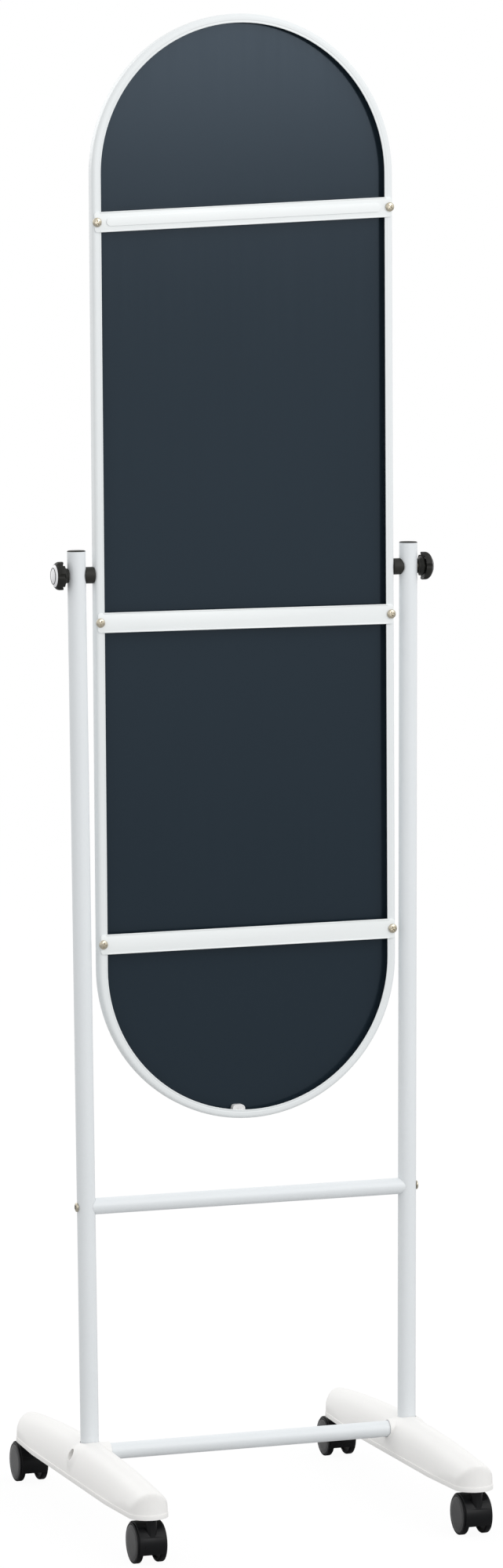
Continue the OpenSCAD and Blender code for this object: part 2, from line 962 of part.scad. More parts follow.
module caster_axle(x_side, y_side) {
    axle_half = wheel_gap / 2 + wheel_w - cap_t - axle_short;
    color([0.7, 0.7, 0.7]) at_caster(x_side, y_side)
        across_caster(axle_half) circle(axle_r);
}

// Places a wheel's own axis outwards, from the wheel's inner face
module at_wheel(x_side, y_side, face) {
    at_caster(x_side, y_side)
        translate([0, -trail, axle_z])
            on_side(x_side * face)
                translate([wheel_gap / 2, 0, 0])
                    along_x() children();
}

module caster_wheel(x_side, y_side, face) {
    rim_r = wheel_cap_r + fit;
    seat_w = 1.5;
    web_z = 2;
    web_t = 2;
    web_top = web_z + web_t;
    cap_seat = wheel_w - cap_t - fit;
    hub_low = 1;
    color([0.13, 0.13, 0.14]) at_wheel(x_side, y_side, face)
        rotate_extrude($fn = 96)
            polygon([
                [axle_r + fit, 0],
                [wheel_hub_r, 0],
                [wheel_hub_r, web_z],
                [axle_z - wheel_rim_t, web_z],
                [axle_z - wheel_rim_t, 0],
                [axle_z - tread_edge, 0],
                [axle_z - tread_bulge, tread_bulge],
                [axle_z, tread_edge],
                [axle_z, tread_w - cap_inset / 2],
                [axle_z - cap_inset / 2, tread_w],
                [rim_r, tread_w],
                [rim_r, cap_seat],
                [rim_r - seat_w, cap_seat],
                [rim_r - seat_w, web_top],
                [wheel_hub_r, web_top],
                [wheel_hub_r, cap_seat - hub_low],
                [axle_r + fit, cap_seat - hub_low]
            ]);
}

// Slightly domed disc that closes the wheel's outer face
module wheel_cap(x_side, y_side, face) {
    steps = 6;
    color([0.28, 0.28, 0.3]) at_wheel(x_side, y_side, face)
        translate([0, 0, wheel_w - cap_t])
            rotate_extrude($fn = 96)
                polygon(concat(
                    [[0, 0], [wheel_cap_r, 0]],
                    [for (i = [0 : steps])
                        let (t = i * 90 / steps)
                            [wheel_cap_r * cos(t), cap_t - cap_dome + cap_dome * sin(t)]]
                ));
}

mirror_frame();
mirror_glass();
mirror_backing();
glass_clip();
brace(braces[0]);  // brace_upper
brace(braces[1]);  // brace_middle
brace(braces[2]);  // brace_lower
brace_screws();
pivot_stud(-1);  // pivot_stud_left
pivot_stud(1);  // pivot_stud_right
spacer(-1);  // spacer_left
spacer(1);  // spacer_right
upright(-1);  // upright_left
upright(1);  // upright_right
upright_cap(-1);  // upright_cap_left
upright_cap(1);  // upright_cap_right
knob(-1);  // knob_left
knob(1);  // knob_right
knob_insert(-1);  // knob_insert_left
knob_insert(1);  // knob_insert_right
knob_cap(-1);  // knob_cap_left
knob_cap(1);  // knob_cap_right
crossbar(bar_mid_z);  // crossbar_middle
crossbar_plugs(bar_mid_z);  // crossbar_middle_plugs
crossbar_middle_screws();
crossbar(bar_low_z);  // crossbar_lower
crossbar_plugs(bar_low_z);  // crossbar_lower_plugs
crossbar_lower_screws();
foot(-1);  // foot_left
foot(1);  // foot_right
caster_sockets();
caster_stem(-1, -1);  // stem_front_left
caster_hood(-1, -1);  // hood_front_left
caster_axle(-1, -1);  // axle_front_left
caster_wheel(-1, -1, 1);  // wheel_front_left_outer
caster_wheel(-1, -1, -1);  // wheel_front_left_inner
wheel_cap(-1, -1, 1);  // wheel_cap_front_left_outer
wheel_cap(-1, -1, -1);  // wheel_cap_front_left_inner
caster_stem(1, -1);  // stem_front_right
caster_hood(1, -1);  // hood_front_right
caster_axle(1, -1);  // axle_front_right
caster_wheel(1, -1, 1);  // wheel_front_right_outer
caster_wheel(1, -1, -1);  // wheel_front_right_inner
wheel_cap(1, -1, 1);  // wheel_cap_front_right_outer
wheel_cap(1, -1, -1);  // wheel_cap_front_right_inner
caster_stem(-1, 1);  // stem_rear_left
caster_hood(-1, 1);  // hood_rear_left
caster_axle(-1, 1);  // axle_rear_left
caster_wheel(-1, 1, 1);  // wheel_rear_left_outer
caster_wheel(-1, 1, -1);  // wheel_rear_left_inner
wheel_cap(-1, 1, 1);  // wheel_cap_rear_left_outer
wheel_cap(-1, 1, -1);  // wheel_cap_rear_left_inner
caster_stem(1, 1);  // stem_rear_right
caster_hood(1, 1);  // hood_rear_right
caster_axle(1, 1);  // axle_rear_right
caster_wheel(1, 1, 1);  // wheel_rear_right_outer
caster_wheel(1, 1, -1);  // wheel_rear_right_inner
wheel_cap(1, 1, 1);  // wheel_cap_rear_right_outer
wheel_cap(1, 1, -1);  // wheel_cap_rear_right_inner
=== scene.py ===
"""Looks of the rolling floor mirror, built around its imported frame.

The mirror hangs between two leaning uprights on arched feet with twin-wheel casters.
Every length is in metres, in the frame's own axes: +Z is up and the mirror reflects towards -Y.
"""

import json
import logging
from collections.abc import Callable, Iterator, Sequence
from contextlib import contextmanager
from dataclasses import dataclass
from enum import Enum
from math import cos, pi, radians, sin, sqrt

import bmesh
import bpy
from mathutils import Matrix, Vector


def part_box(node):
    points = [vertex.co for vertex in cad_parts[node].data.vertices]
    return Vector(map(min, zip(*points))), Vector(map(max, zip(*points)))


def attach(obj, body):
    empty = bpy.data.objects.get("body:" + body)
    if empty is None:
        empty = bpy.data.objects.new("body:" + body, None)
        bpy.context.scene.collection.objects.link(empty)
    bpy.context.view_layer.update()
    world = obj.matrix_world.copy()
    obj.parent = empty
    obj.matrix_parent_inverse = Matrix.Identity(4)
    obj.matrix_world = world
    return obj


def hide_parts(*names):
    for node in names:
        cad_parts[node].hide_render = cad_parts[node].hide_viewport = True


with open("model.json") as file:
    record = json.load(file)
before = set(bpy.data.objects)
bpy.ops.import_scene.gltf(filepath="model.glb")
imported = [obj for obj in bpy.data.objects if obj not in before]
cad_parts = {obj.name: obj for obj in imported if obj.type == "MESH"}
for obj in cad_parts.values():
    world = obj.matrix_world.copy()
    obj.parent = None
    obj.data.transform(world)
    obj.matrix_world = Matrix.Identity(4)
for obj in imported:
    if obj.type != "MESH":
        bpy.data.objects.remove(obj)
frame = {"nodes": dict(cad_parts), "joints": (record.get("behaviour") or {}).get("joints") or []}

log = logging.getLogger("floor_mirror")

Pair = tuple[float, float]
Point = tuple[float, float, float]
Colour = tuple[float, float, float]
Profile = list[Pair]
Piece = bpy.types.Object

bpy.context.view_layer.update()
SMALL = 1e-5
WELD = 2e-6
SMOOTH_ANGLE = radians(34)
WHITE = (1, 1, 1, 1)


class Axis(Enum):
    """The way a turned piece's own axis points, with the turn that takes +Z there."""

    UP = (0, 0, 0)
    RIGHT = (0, pi / 2, 0)
    LEFT = (0, -pi / 2, 0)
    BACK = (-pi / 2, 0, 0)


class Side(Enum):
    """Left and right as a person sees them who looks into the mirror."""

    LEFT = -1
    RIGHT = 1

    @property
    def word(self) -> str:
        """The side's name as the nodes spell it."""
        return self.name.lower()

    @property
    def axis(self) -> Axis:
        """The axis that points to this side."""
        return Axis[self.name]


class Part(Enum):
    """What is picked of a mesh, by the name of its select mode."""

    FACE = "FACE"
    EDGE = "EDGE"
    POINT = "VERT"


class Way(Enum):
    """What a Boolean does with its tool."""

    CUT = "DIFFERENCE"
    ADD = "UNION"
    KEEP = "INTERSECT"


def joint_place(name: str) -> Vector:
    """The place at rest of the joint with this name."""
    return Vector(next(j["pos_m"] for j in frame["joints"] if j["name"] == name))


def corners(node: str) -> list[Vector]:
    """The lowest and the highest corner of a node's box at rest."""
    return [Vector(corner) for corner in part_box(node)]


def centre_of(node: str) -> Vector:
    """The centre of a node's box at rest."""
    low, high = corners(node)
    return (low + high) / 2


# --- shader maths ---


@dataclass
class Value:
    """A shader socket that takes part in Python expressions."""

    table: "NodeTable"
    socket: bpy.types.NodeSocket | None

    def __add__(self, other: "Value | float") -> "Value":
        """Sum."""
        return self.table.node("ShaderNodeMath", {0: self, 1: other}, operation="ADD")

    def __mul__(self, other: "Value | float") -> "Value":
        """Product."""
        return self.table.node("ShaderNodeMath", {0: self, 1: other}, operation="MULTIPLY")

    __radd__ = __add__
    __rmul__ = __mul__


@dataclass(frozen=True)
class Noise:
    """Cloudy noise: its features to a metre, its finer layers and its scale along each axis."""

    scale: float
    detail: float = 3.0
    stretch: Point = (1.0, 1.0, 1.0)


class NodeTable:
    """Builds the nodes of one material or world."""

    def __init__(self, owner: bpy.types.Material | bpy.types.World) -> None:
        """Clears the owner's nodes to start from nothing."""
        owner.use_nodes = True
        self.tree = owner.node_tree
        self.tree.nodes.clear()

    def node(
        self, kind: str, sockets: dict | None = None, out: str | int = 0, **settings: object,
    ) -> Value:
        """Adds any node: its settings first, then what its sockets are given.

        Args:
            kind: The node's type.
            sockets: Values, or wrapped sockets to link, by name or number.
            out: The output that is wanted.
            settings: Properties, and as stops a ramp's places and grey levels.

        Returns:
            That output, wrapped.
        """
        made = self.tree.nodes.new(kind)
        stops = settings.pop("stops", ())
        for key, setting in settings.items():
            setattr(made, key, setting)
        for number, (place, grey) in enumerate(stops):
            ramp = made.color_ramp.elements
            element = ramp[number] if number < len(ramp) else ramp.new(1.0)
            element.position = place
            element.color = (grey, grey, grey, 1.0)
        for key, given in (sockets or {}).items():
            if isinstance(given, Value):
                self.tree.links.new(given.socket, made.inputs[key])
            else:
                made.inputs[key].default_value = given
        return Value(self, made.outputs[out] if made.outputs else None)

    def noise(self, noise: Noise) -> Value:
        """Adds noise, read in object coordinates.

        Args:
            noise: What it is like.

        Returns:
            Its value.
        """
        place = self.node("ShaderNodeTexCoord", out="Object")
        at = self.node("ShaderNodeMapping", {"Vector": place, "Scale": noise.stretch})
        sockets = {"Vector": at, "Scale": noise.scale, "Detail": noise.detail}
        return self.node("ShaderNodeTexNoise", sockets)

    def blend(self, share: Value, first: Colour | Value, second: Colour | Value) -> Value:
        """Mixes two colours, by the share of the second."""
        first, second = (c if isinstance(c, Value) else (*c, 1.0) for c in (first, second))
        return self.node("ShaderNodeMix", {0: share, 6: first, 7: second}, 2, data_type="RGBA")


# --- finishes ---


@dataclass(frozen=True)
class Finish:
    """One finish of the object, for one slot of the record.

    Its colour is clouded between two shades, its roughness is uneven by a spread, and its grain
    stands out by a share of its depth.
    """

    slot: str
    colour: Colour
    roughness: float
    shades: Pair = (0.975, 1.02)
    spread: float = 0.05
    metallic: float = 0.0
    gloss: float = 0.5
    sheen: Colour = (1.0, 1.0, 1.0)
    clouds: Noise = Noise(9.0)
    uneven: Noise = Noise(38.0, 2.0)
    grain: Noise = Noise(650.0, 2.0)
    relief: float = 0.35
    depth: float = 0.00006

    def shaded(self, table: NodeTable) -> Value:
        """The colour, clouded between its two shades."""
        dark, pale = (tuple(min(1.0, c * by) for c in self.colour) for by in self.shades)
        return table.blend(table.noise(self.clouds), dark, pale)

    def material(self) -> bpy.types.Material:
        """Makes the material, or finds it when it is already there.

        Returns:
            The material.
        """
        name = f"finish_{self.slot}"
        if name in bpy.data.materials:
            return bpy.data.materials[name]
        made = bpy.data.materials.new(name)
        table = NodeTable(made)
        uneven = table.noise(self.uneven) * (2 * self.spread)
        sockets = {
            "Base Color": self.shaded(table),
            "Roughness": self.roughness - self.spread + uneven,
            "Metallic": self.metallic,
            "Specular IOR Level": self.gloss,
            "Specular Tint": (*self.sheen, 1.0),
        }
        if self.relief:
            grain = table.noise(self.grain)
            raised = {"Height": grain, "Strength": self.relief, "Distance": self.depth}
            sockets["Normal"] = table.node("ShaderNodeBump", raised, "Normal")
        shader = table.node("ShaderNodeBsdfPrincipled", sockets)
        table.node("ShaderNodeOutputMaterial", {"Surface": shader})
        return made

    def put_on(self, piece: Piece) -> None:
        """Gives a mesh piece or a CAD node's object this finish all over."""
        if not piece.material_slots:
            piece.data.materials.append(None)
        for place in piece.material_slots:
            place.material = self.material()


@dataclass(frozen=True)
class Enamel(Finish):
    """Stoved enamel on steel: faint orange peel and a slightly uneven sheen."""

    gloss: float = 0.45


@dataclass(frozen=True)
class Moulded(Finish):
    """Injection-moulded plastic with a fine grain left by the tool."""

    shades: Pair = (0.94, 1.06)
    spread: float = 0.06
    gloss: float = 0.45
    relief: float = 0.5
    depth: float = 0.00004
    clouds: Noise = Noise(22.0)
    uneven: Noise = Noise(120.0, 2.0, (1.0, 1.0, 0.25))
    grain: Noise = Noise(2600.0, 4.0)


@dataclass(frozen=True)
class Polished(Moulded):
    """Moulded plastic from a polished tool."""

    depth: float = 0.00002
    grain: Noise = Noise(1500.0, 4.0)


@dataclass(frozen=True)
class Plated(Finish):
    """Plated or turned metal with fine machining streaks."""

    shades: Pair = (0.86, 1.06)
    spread: float = 0.08
    metallic: float = 1.0
    relief: float = 0.25
    depth: float = 0.00003
    clouds: Noise = Noise(90.0)
    uneven: Noise = Noise(1.0, 3.0, (60.0, 60.0, 2400.0))
    grain: Noise = Noise(1.0, 3.0, (60.0, 60.0, 2400.0))


@dataclass(frozen=True)
class Silvered(Finish):
    """Silvered glass, seen from the front: clean, with the faintest wipe marks."""

    shades: Pair = (0.985, 1.0)
    spread: float = 0.006
    metallic: float = 1.0
    relief: float = 0.0
    clouds: Noise = Noise(5.0, 4.0, (3.0, 1.0, 0.7))
    uneven: Noise = Noise(5.0, 4.0, (3.0, 1.0, 0.7))


@dataclass(frozen=True)
class BackPaint(Finish):
    """Dark slate paint that protects the silvering: cloudy, with curtain streaks and dust."""

    shades: Pair = (0.9, 1.12)
    spread: float = 0.04
    gloss: float = 0.30
    sheen: Colour = (0.68, 0.83, 1.0)
    relief: float = 0.15
    depth: float = 0.00003
    clouds: Noise = Noise(3.2)
    uneven: Noise = Noise(1.0, 3.0, (260.0, 1.0, 5.0))
    grain: Noise = Noise(1.0, 3.0, (260.0, 1.0, 5.0))
    specks: Noise = Noise(1500.0, 2.0)
    dust: Colour = (0.07, 0.09, 0.105)
    dust_share: float = 0.25
    dust_stops: tuple[Pair, ...] = ((0.0, 0.0), (0.70, 0.0), (0.78, 1.0))

    def shaded(self, table: NodeTable) -> Value:
        """The clouded colour, with specks of dust."""
        specks = {"Fac": table.noise(self.specks)}
        dust = table.node("ShaderNodeValToRGB", specks, stops=self.dust_stops)
        return table.blend(dust * self.dust_share, super().shaded(table), self.dust)


@dataclass(frozen=True)
class Finishes:
    """Every finish of the object."""

    frame: Finish = Enamel("frame_enamel", (0.80, 0.83, 0.84), 0.34)
    tube: Finish = Enamel("tube_enamel", (0.78, 0.812, 0.832), 0.36)
    brace: Finish = Enamel("brace_enamel", (0.875, 0.905, 0.908), 0.30)
    silver: Finish = Silvered("mirror_glass", (0.86, 0.89, 0.89), 0.018)
    back: Finish = BackPaint("back_paint", (0.0115, 0.0195, 0.0275), 0.17)
    screw: Finish = Plated("plated_screws", (0.56, 0.51, 0.41), 0.24)
    clip: Finish = Moulded("clip_plastic", (0.86, 0.86, 0.86), 0.4)
    steel: Finish = Plated("steel", (0.58, 0.59, 0.60), 0.34)
    black: Finish = Moulded("black_plastic", (0.022, 0.022, 0.019), 0.52, gloss=0.25)
    plug: Finish = Moulded("plug_plastic", (0.030, 0.030, 0.028), 0.5, gloss=0.2)
    foot: Finish = Moulded(
        "foot_plastic", (0.90, 0.893, 0.878), 0.42, (0.99, 1.01), gloss=0.4, depth=0.00003,
        grain=Noise(1800, 4),
    )
    knob: Finish = Moulded("knob_plastic", (0.018, 0.018, 0.016), 0.46, gloss=0.16)
    brass: Finish = Plated("brass", (0.22, 0.16, 0.08), 0.42)
    # The knob face's pale colour is a painted reflection: it stands in for the white shine on a
    # glossy face.
    face: Finish = Moulded(
        "knob_face", (0.88, 0.88, 0.90), 0.2, (0.99, 1.01), depth=0.00001, grain=Noise(1800, 4),
    )
    hood: Finish = Polished("caster_plastic", (0.006, 0.0062, 0.007), 0.3, gloss=0.14)
    wheel: Finish = Polished("wheel_plastic", (0.004, 0.004, 0.005), 0.36, gloss=0.12)
    wheel_cap: Finish = Polished("wheel_cap", (0.030, 0.030, 0.032), 0.2, gloss=0.35)


FINISH = Finishes()


# --- bench ---


def clear() -> None:
    """Leaves edit mode and deselects every object."""
    if bpy.context.object and bpy.context.object.mode != "OBJECT":
        bpy.ops.object.mode_set(mode="OBJECT")
    bpy.ops.object.select_all(action="DESELECT")


def hold(piece: Piece) -> None:
    """Makes a piece the only one selected, and active."""
    clear()
    piece.select_set(True)
    bpy.context.view_layer.objects.active = piece


def start(kind: str, **settings: object) -> Piece:
    """Adds a mesh primitive with its operator's settings, as the start of a piece or a cutter."""
    clear()
    getattr(bpy.ops.mesh, f"primitive_{kind}_add")(**settings)
    return bpy.context.active_object


@contextmanager
def editing(piece: Piece, selected: bool = False) -> Iterator[None]:
    """Opens a piece in edit mode.

    Args:
        piece: The piece to edit.
        selected: Whether all of it starts selected.

    Yields:
        Nothing; the piece is in edit mode meanwhile.
    """
    hold(piece)
    bpy.ops.object.mode_set(mode="EDIT")
    bpy.ops.mesh.select_mode(type="FACE" if len(piece.data.polygons) else "EDGE")
    bpy.ops.mesh.select_all(action="SELECT" if selected else "DESELECT")
    yield
    bpy.ops.object.mode_set(mode="OBJECT")


def pick(piece: Piece, part: Part, test: Callable[..., bool]) -> None:
    """Selects the parts of a piece in edit mode that pass a test, and no others.

    Args:
        piece: The piece.
        part: The kind of part.
        test: Takes a face's centre and normal, an edge's two ends, or a vertex's place.
    """
    bpy.ops.mesh.select_mode(type=part.value)
    mesh = bmesh.from_edit_mesh(piece.data)
    found = {
        Part.FACE: lambda: [(f, (f.calc_center_median(), f.normal)) for f in mesh.faces],
        Part.EDGE: lambda: [(e, [v.co for v in e.verts]) for e in mesh.edges],
        Part.POINT: lambda: [(v, (v.co,)) for v in mesh.verts],
    }
    for element, places in found[part]():
        element.select_set(test(*places))
    mesh.select_flush_mode()
    bmesh.update_edit_mesh(piece.data)


def extrude(*move: float) -> None:
    """Extrudes the selection in edit mode by a move along X, Y and Z."""
    bpy.ops.mesh.extrude_region_move(TRANSFORM_OT_translate={"value": move})


def close_up() -> None:
    """Merges doubles and turns every face outwards, in edit mode."""
    bpy.ops.mesh.select_all(action="SELECT")
    bpy.ops.mesh.remove_doubles(threshold=WELD)
    bpy.ops.mesh.normals_make_consistent()


def freeze(piece: Piece) -> Piece:
    """Puts a piece's place, turn and scale into its mesh, and returns it."""
    hold(piece)
    bpy.ops.object.transform_apply()
    return piece


def place(piece: Piece, at: Point | Vector, axis: Axis = Axis.UP) -> Piece:
    """Turns a piece that was made along Z to its axis, moves it and returns it."""
    piece.rotation_euler = axis.value
    piece.location = at
    return freeze(piece)


def lean(piece: Piece, angle: float, about: Vector) -> Piece:
    """Turns a piece about an axis along +Y.

    Args:
        piece: The piece.
        angle: The turn, by the right-hand rule.
        about: A point on the axis.

    Returns:
        The piece.
    """
    turn = Matrix.Translation(about) @ Matrix.Rotation(angle, 4, "Y") @ Matrix.Translation(-about)
    piece.matrix_world = turn @ piece.matrix_world
    return freeze(piece)


def block(size: Point | Vector, centre: Point | Vector) -> Piece:
    """Adds a box with these lengths along X, Y and Z about a centre."""
    return freeze(start("cube", size=1, location=centre, scale=size))


def rod(
    radius: float, length: float, centre: Point, axis: Axis = Axis.UP, sides: int = 48,
) -> Piece:
    """Adds a cylinder about a centre."""
    return place(start("cylinder", vertices=sides, radius=radius, depth=length), centre, axis)


def turned(profile: Profile, segments: int = 72, tube: bool = False) -> Piece:
    """Turns a profile about Z, ring after ring from its first point.

    Args:
        profile: Pairs of radius and height.
        segments: How many sides a ring has.
        tube: Whether the profile closes on itself, round a bore.

    Returns:
        The turned piece.
    """
    piece = start("circle", vertices=segments, radius=profile[0][0])
    rings = profile[1:] + profile[:1] if tube else profile[1:]
    with editing(piece, selected=True):
        bpy.ops.transform.translate(value=(0, 0, profile[0][1]))
        for (r0, z0), (r1, z1) in zip(profile, rings):
            extrude(0, 0, z1 - z0)
            if r1 != r0:
                scale = r1 / r0
                bpy.ops.transform.resize(value=(scale, scale, 1), center_override=(0, 0, z1))
        if not tube:
            bpy.ops.mesh.select_all(action="SELECT")
            bpy.ops.mesh.fill_holes(sides=0)
        close_up()
    return piece


def modify(piece: Piece, kind: str, **settings: object) -> Piece:
    """Adds a modifier, sets it and applies it.

    Args:
        piece: The piece.
        kind: The modifier's type.
        settings: Its properties.

    Returns:
        The piece.
    """
    hold(piece)
    modifier = piece.modifiers.new(kind.lower(), kind)
    for key, setting in settings.items():
        setattr(modifier, key, setting)
    bpy.ops.object.modifier_apply(modifier=modifier.name)
    return piece


def soften(piece: Piece, width: float, segments: int = 3, angle: float = 50) -> Piece:
    """Rounds the edges that are sharper than an angle in degrees."""
    return modify(
        piece, "BEVEL", width=width, segments=segments, limit_method="ANGLE",
        angle_limit=radians(angle), miter_outer="MITER_ARC",
    )


def discard(*pieces: Piece) -> None:
    """Throws pieces away."""
    for piece in pieces:
        bpy.data.objects.remove(piece)


def carve(piece: Piece, *tools: Piece, way: Way = Way.CUT) -> Piece:
    """Cuts tools out of a piece, one after the other, or joins them, and throws them away.

    Args:
        piece: The piece.
        tools: The cutters.
        way: What is done with them.

    Returns:
        The piece.
    """
    for tool in tools:
        modify(piece, "BOOLEAN", object=tool, operation=way.value, solver="EXACT")
        discard(tool)
    return piece


def join(*pieces: Piece) -> Piece:
    """Joins pieces into the first one, and returns it."""
    clear()
    for piece in pieces:
        piece.select_set(True)
    bpy.context.view_layer.objects.active = pieces[0]
    bpy.ops.object.join()
    return pieces[0]


def copy(piece: Piece, move: Point | Vector = (0, 0, 0), mirrored: bool = False) -> Piece:
    """Copies a piece with its own mesh.

    Args:
        piece: The piece to copy.
        move: How far the copy is moved.
        mirrored: Whether it is mirrored across X = 0 first.

    Returns:
        The copy.
    """
    hold(piece)
    bpy.ops.object.duplicate()
    made = bpy.context.active_object
    if mirrored:
        made.scale = (-1, 1, 1)
        freeze(made)
        with editing(made, selected=True):
            bpy.ops.mesh.normals_make_consistent()
    return place(made, move)


def deliver(piece: Piece, name: str, body: str, finish: Finish, *nodes: str) -> None:
    """Names, shades and dresses a finished piece and hangs it on its body.

    Args:
        piece: The finished piece.
        name: Its name.
        body: The body that it rides on.
        finish: Its finish.
        nodes: The CAD nodes that it stands for.
    """
    piece.name = piece.data.name = name
    piece.data.materials.clear()
    hold(piece)
    bpy.ops.object.shade_smooth_by_angle(angle=SMOOTH_ANGLE)
    finish.put_on(piece)
    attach(piece, body)
    if nodes:
        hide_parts(*nodes)
    log.info("%s: %d faces", name, len(piece.data.polygons))


def keep(node: str, finish: Finish) -> None:
    """Dresses a CAD node that stays as it is."""
    finish.put_on(frame["nodes"][node])
    log.info("%s: kept from the frame", node)


def oval(centre: Pair, radii: Pair, angles: Sequence[float]) -> Profile:
    """Points on an oval of a profile, at angles in degrees from the outward direction."""
    (x, y), (width, height) = centre, radii
    return [
        (max(SMALL, x + width * cos(radians(a))), y + height * sin(radians(a))) for a in angles
    ]


def arc(centre: Pair, radius: float, first: float, last: float, steps: int) -> Profile:
    """Points along an arc of a profile, in even steps between two angles."""
    angles = [first + (last - first) * i / steps for i in range(steps + 1)]
    return oval(centre, (radius, radius), angles)


@dataclass(frozen=True)
class PanScrew:
    """A pan-head screw with a cross recess."""

    shank: float
    length: float
    head: float = 0.0047
    height: float = 0.0024
    point: float = 0.001
    foot_round: float = 0.0004
    foot_rise: float = 0.0003
    domed_share: float = 0.55
    blade: Point = (1.15, 0.28, 0.82)

    def build(self) -> Piece:
        """Turns the screw, its head above Z = 0, and cuts the cross with two blades.

        Returns:
            The screw.
        """
        head, height = self.head, self.height
        dome = height * self.domed_share
        screw = turned([
            (self.shank * 0.6, -self.length), (self.shank, -self.length + self.point),
            (self.shank, -SMALL), (head - self.foot_round, 0.0), (head, self.foot_rise),
            (head, height - dome),
            *oval((0, height - dome), (head, dome), (12, 26, 42, 58, 74, 90)),
        ], 48)
        length, width, middle_z = self.blade
        for turn in (pi / 4, 3 * pi / 4):
            blade = block((head * length, head * width, height), (0, 0, height * middle_z))
            blade.rotation_euler.z = turn
            carve(screw, freeze(blade))
        return screw


# --- mirror ---


@dataclass
class MirrorPanel:
    """The framed glass that tilts on the two pivot studs."""

    rail_face: float = 0.0092
    rail_wall: float = 0.0012
    rail_corner: float = 0.0036
    arc_steps: int = 64
    groove_x: float = 0.0021
    groove_half: float = 0.0004
    groove_depth: float = 0.00035
    lip_round: float = 0.0004
    hole: float = 0.00175
    hole_length: float = 0.006
    hole_top_x: float = -0.004
    hole_bottom_x: float = 0.007
    clip_corner: float = 0.0040
    clip_rim: float = 0.0011
    clip_dish: float = 0.0005
    clip_slot: Point = (0.005, 0.003, 0.0013)
    clip_slot_drop: float = 0.0042
    clip_round: float = 0.0003

    def build(self) -> None:
        """Makes the rail and the clip, and dresses the glass and its coat."""
        self._rail()
        self._clip()
        keep("mirror_glass", FINISH.silver)
        keep("mirror_backing", FINISH.back)
        for side in Side:
            keep(f"pivot_stud_{side.word}", FINISH.steel)

    def _rail(self) -> None:
        """Bends the channel rail into the stadium outline and rolls its lips."""
        (low, high), centre = corners("mirror_frame"), centre_of("mirror_frame")
        straight = high.z - low.z - (high.x - low.x)
        rail = self._section()
        with editing(rail, selected=True):
            for sign in (1, -1):
                extrude(0, 0, sign * straight)
                middle = (0, centre.y, centre.z + sign * straight / 2)
                bpy.ops.mesh.spin(steps=self.arc_steps, angle=pi, center=middle, axis=(0, 1, 0))
            close_up()
        web = max(rail.data.polygons, key=lambda p: p.center.x)
        side = -1.0 if web.normal.x > 0 else 1.0
        modify(rail, "SOLIDIFY", thickness=self.rail_wall, offset=side, use_even_offset=True)
        with editing(rail):
            close_up()
        soften(rail, self.lip_round, 2)
        for x, z in ((self.hole_top_x, high.z), (self.hole_bottom_x, low.z)):
            carve(rail, rod(self.hole, self.hole_length, (x, centre.y, z), sides=24))
        deliver(rail, "frame_rail", "mirror", FINISH.frame, "mirror_frame")

    def _section(self) -> Piece:
        """Draws the rail's open section, with rounded outer corners and a groove in its back.

        Returns:
            The open wire on the +X side, where the lower bend begins.
        """
        low, high = corners("mirror_frame")
        radius, back = (high.x - low.x) / 2, high.y
        inner_x = radius - self.rail_face
        groove_x = inner_x + self.groove_x
        middle = (radius - self.rail_face / 2, (low.y + back) / 2, low.z + radius)
        rail = start("plane", size=1, location=middle)
        rail.scale = (self.rail_face, back - low.y, 1)
        freeze(rail)
        with editing(rail):
            pick(rail, Part.POINT, lambda p: p.x > inner_x + SMALL)
            bpy.ops.mesh.bevel(offset=self.rail_corner, segments=8, affect="VERTICES")
            bpy.ops.mesh.select_all(action="SELECT")
            bpy.ops.mesh.delete(type="ONLY_FACE")
            pick(rail, Part.EDGE, lambda a, b: max(a.x, b.x) < inner_x + SMALL)
            bpy.ops.mesh.delete(type="EDGE")
            pick(rail, Part.EDGE, lambda a, b: min(a.y, b.y) > back - SMALL)
            bpy.ops.mesh.subdivide(number_cuts=7)
            pick(rail, Part.POINT, lambda p: (
                p.y > back - SMALL and abs(p.x - groove_x) < self.groove_half
            ))
            bpy.ops.transform.translate(value=(0, -self.groove_depth, 0))
        return rail

    def _clip(self) -> None:
        """Shapes the white clip that holds the glass forward at the bottom."""
        low, high = corners("glass_clip")
        clip = block(high - low, centre_of("glass_clip"))
        with editing(clip):
            pick(clip, Part.EDGE, lambda a, b: (
                min(a.z, b.z) > high.z - SMALL and abs(a.x - b.x) < SMALL
            ))
            bpy.ops.mesh.bevel(offset=self.clip_corner, segments=8)
            pick(clip, Part.FACE, lambda c, n: n.y > 0.9)
            bpy.ops.mesh.inset(thickness=self.clip_rim)
            extrude(0, -self.clip_dish, 0)
        slot_at = ((low.x + high.x) / 2, high.y, high.z - self.clip_slot_drop)
        carve(clip, block(self.clip_slot, slot_at))
        soften(clip, self.clip_round, 2, 34)
        deliver(clip, "glass_holder", "mirror", FINISH.clip, "glass_clip")


